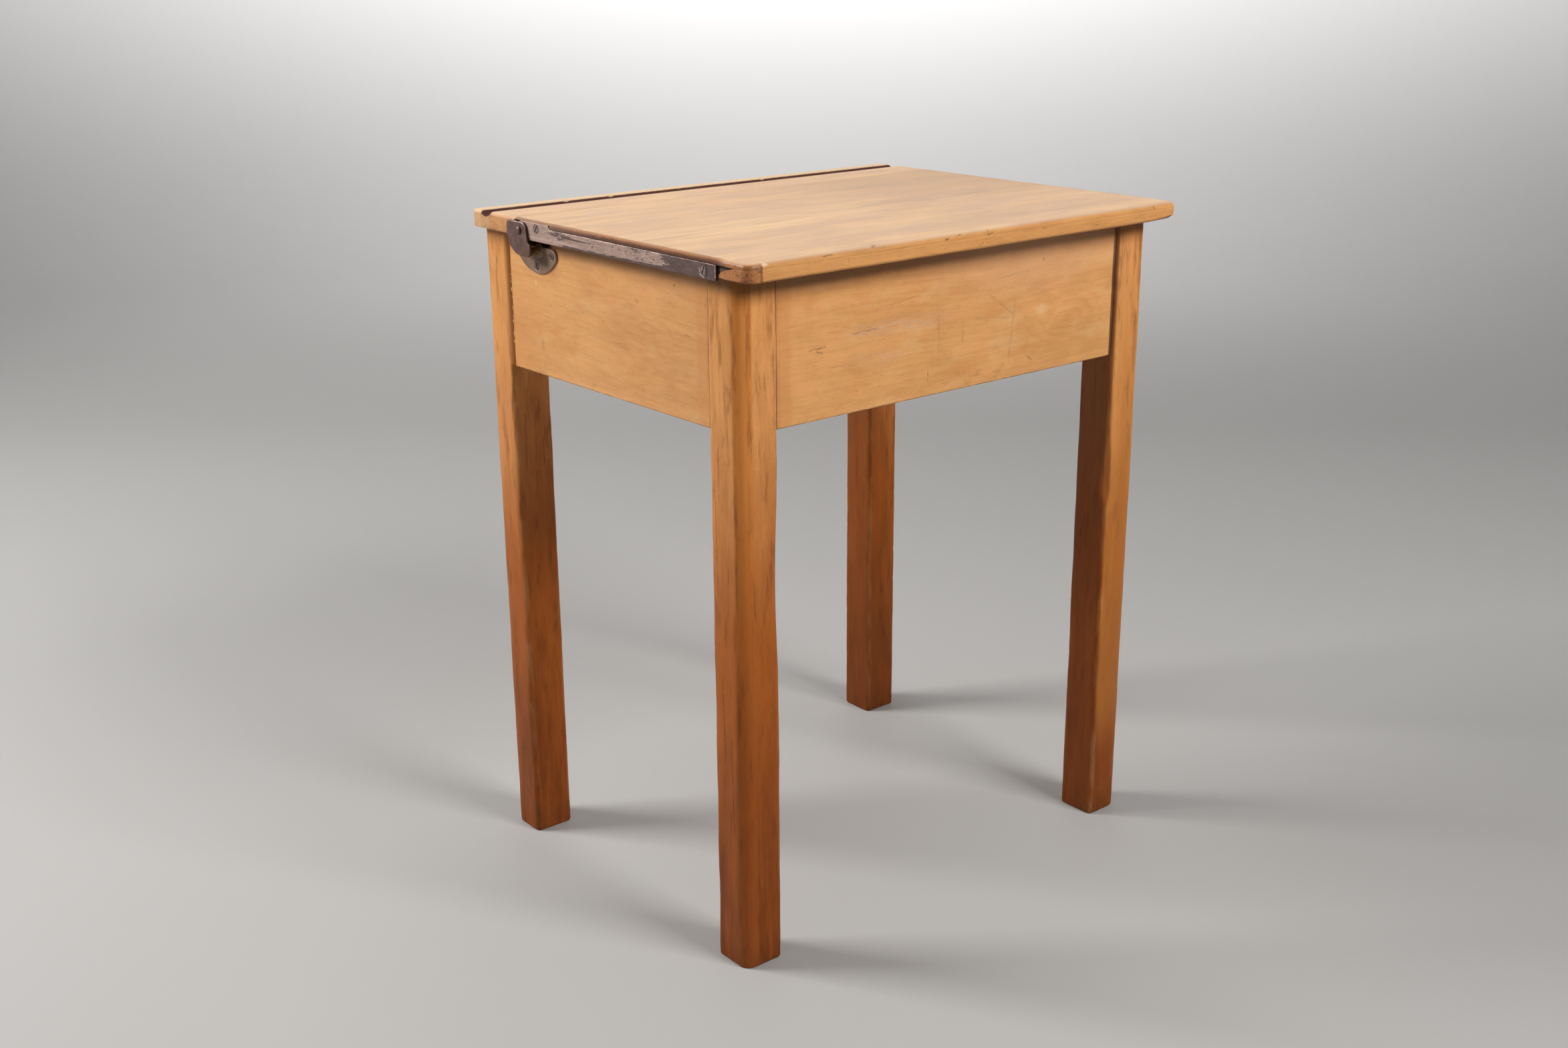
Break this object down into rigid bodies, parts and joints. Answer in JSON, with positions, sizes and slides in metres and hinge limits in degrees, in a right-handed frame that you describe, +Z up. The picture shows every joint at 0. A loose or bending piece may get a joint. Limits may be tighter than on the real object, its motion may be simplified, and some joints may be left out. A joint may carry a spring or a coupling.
{
  "type": "school desk",
  "caption": "Wooden school desk on square legs with a flat lifting lid over a shallow locker and a fixed pen ledge behind it.",
  "frame": {"origin": "on the floor, under the middle of the outer box", "axes": "+Z up, -Y towards the user's side where the lid opens, +X to the user's right"},
  "size_m": [0.6342, 0.4948, 0.762],
  "materials": {
    "top_wood": "worn varnish",
    "apron_wood": "satin varnish",
    "leg_wood": "satin varnish",
    "locker_panel": "bare plywood",
    "bearer_wood": "bare",
    "bracket_iron": "worn dark paint",
    "rivet_steel": "worn dark paint",
    "strap_steel": "worn dark paint over steel",
    "screw_steel": "dark, tarnished"
  },
  "bodies": {
    "frame": {"leg_front_left": "leg_wood", "leg_front_right": "leg_wood", "leg_rear_left": "leg_wood", "leg_rear_right": "leg_wood", "apron_front": "apron_wood", "apron_rear": "apron_wood", "apron_left": "apron_wood", "apron_right": "apron_wood", "locker_bottom": "locker_panel", "bearer_front": "bearer_wood", "bearer_rear": "bearer_wood", "bearer_left": "bearer_wood", "bearer_right": "bearer_wood", "pen_ledge": "top_wood", "ledge_dowels": "bearer_wood", "hinge_bracket_left": "bracket_iron", "hinge_bracket_right": "bracket_iron", "pivot_rivets": "rivet_steel", "bracket_screws": "screw_steel"},
    "lid": {"lid_board_front": "top_wood", "lid_board_rear": "top_wood", "lid_strap_left": "strap_steel", "lid_strap_right": "strap_steel", "strap_screws": "screw_steel"}
  },
  "joints": [
    {"name": "lid_hinge", "type": "hinge", "parent": "frame", "child": "lid", "pos_m": [0, 0.1432, 0.75], "axis": [-1, 0, 0], "range_deg": [0, 94]}
  ]
}
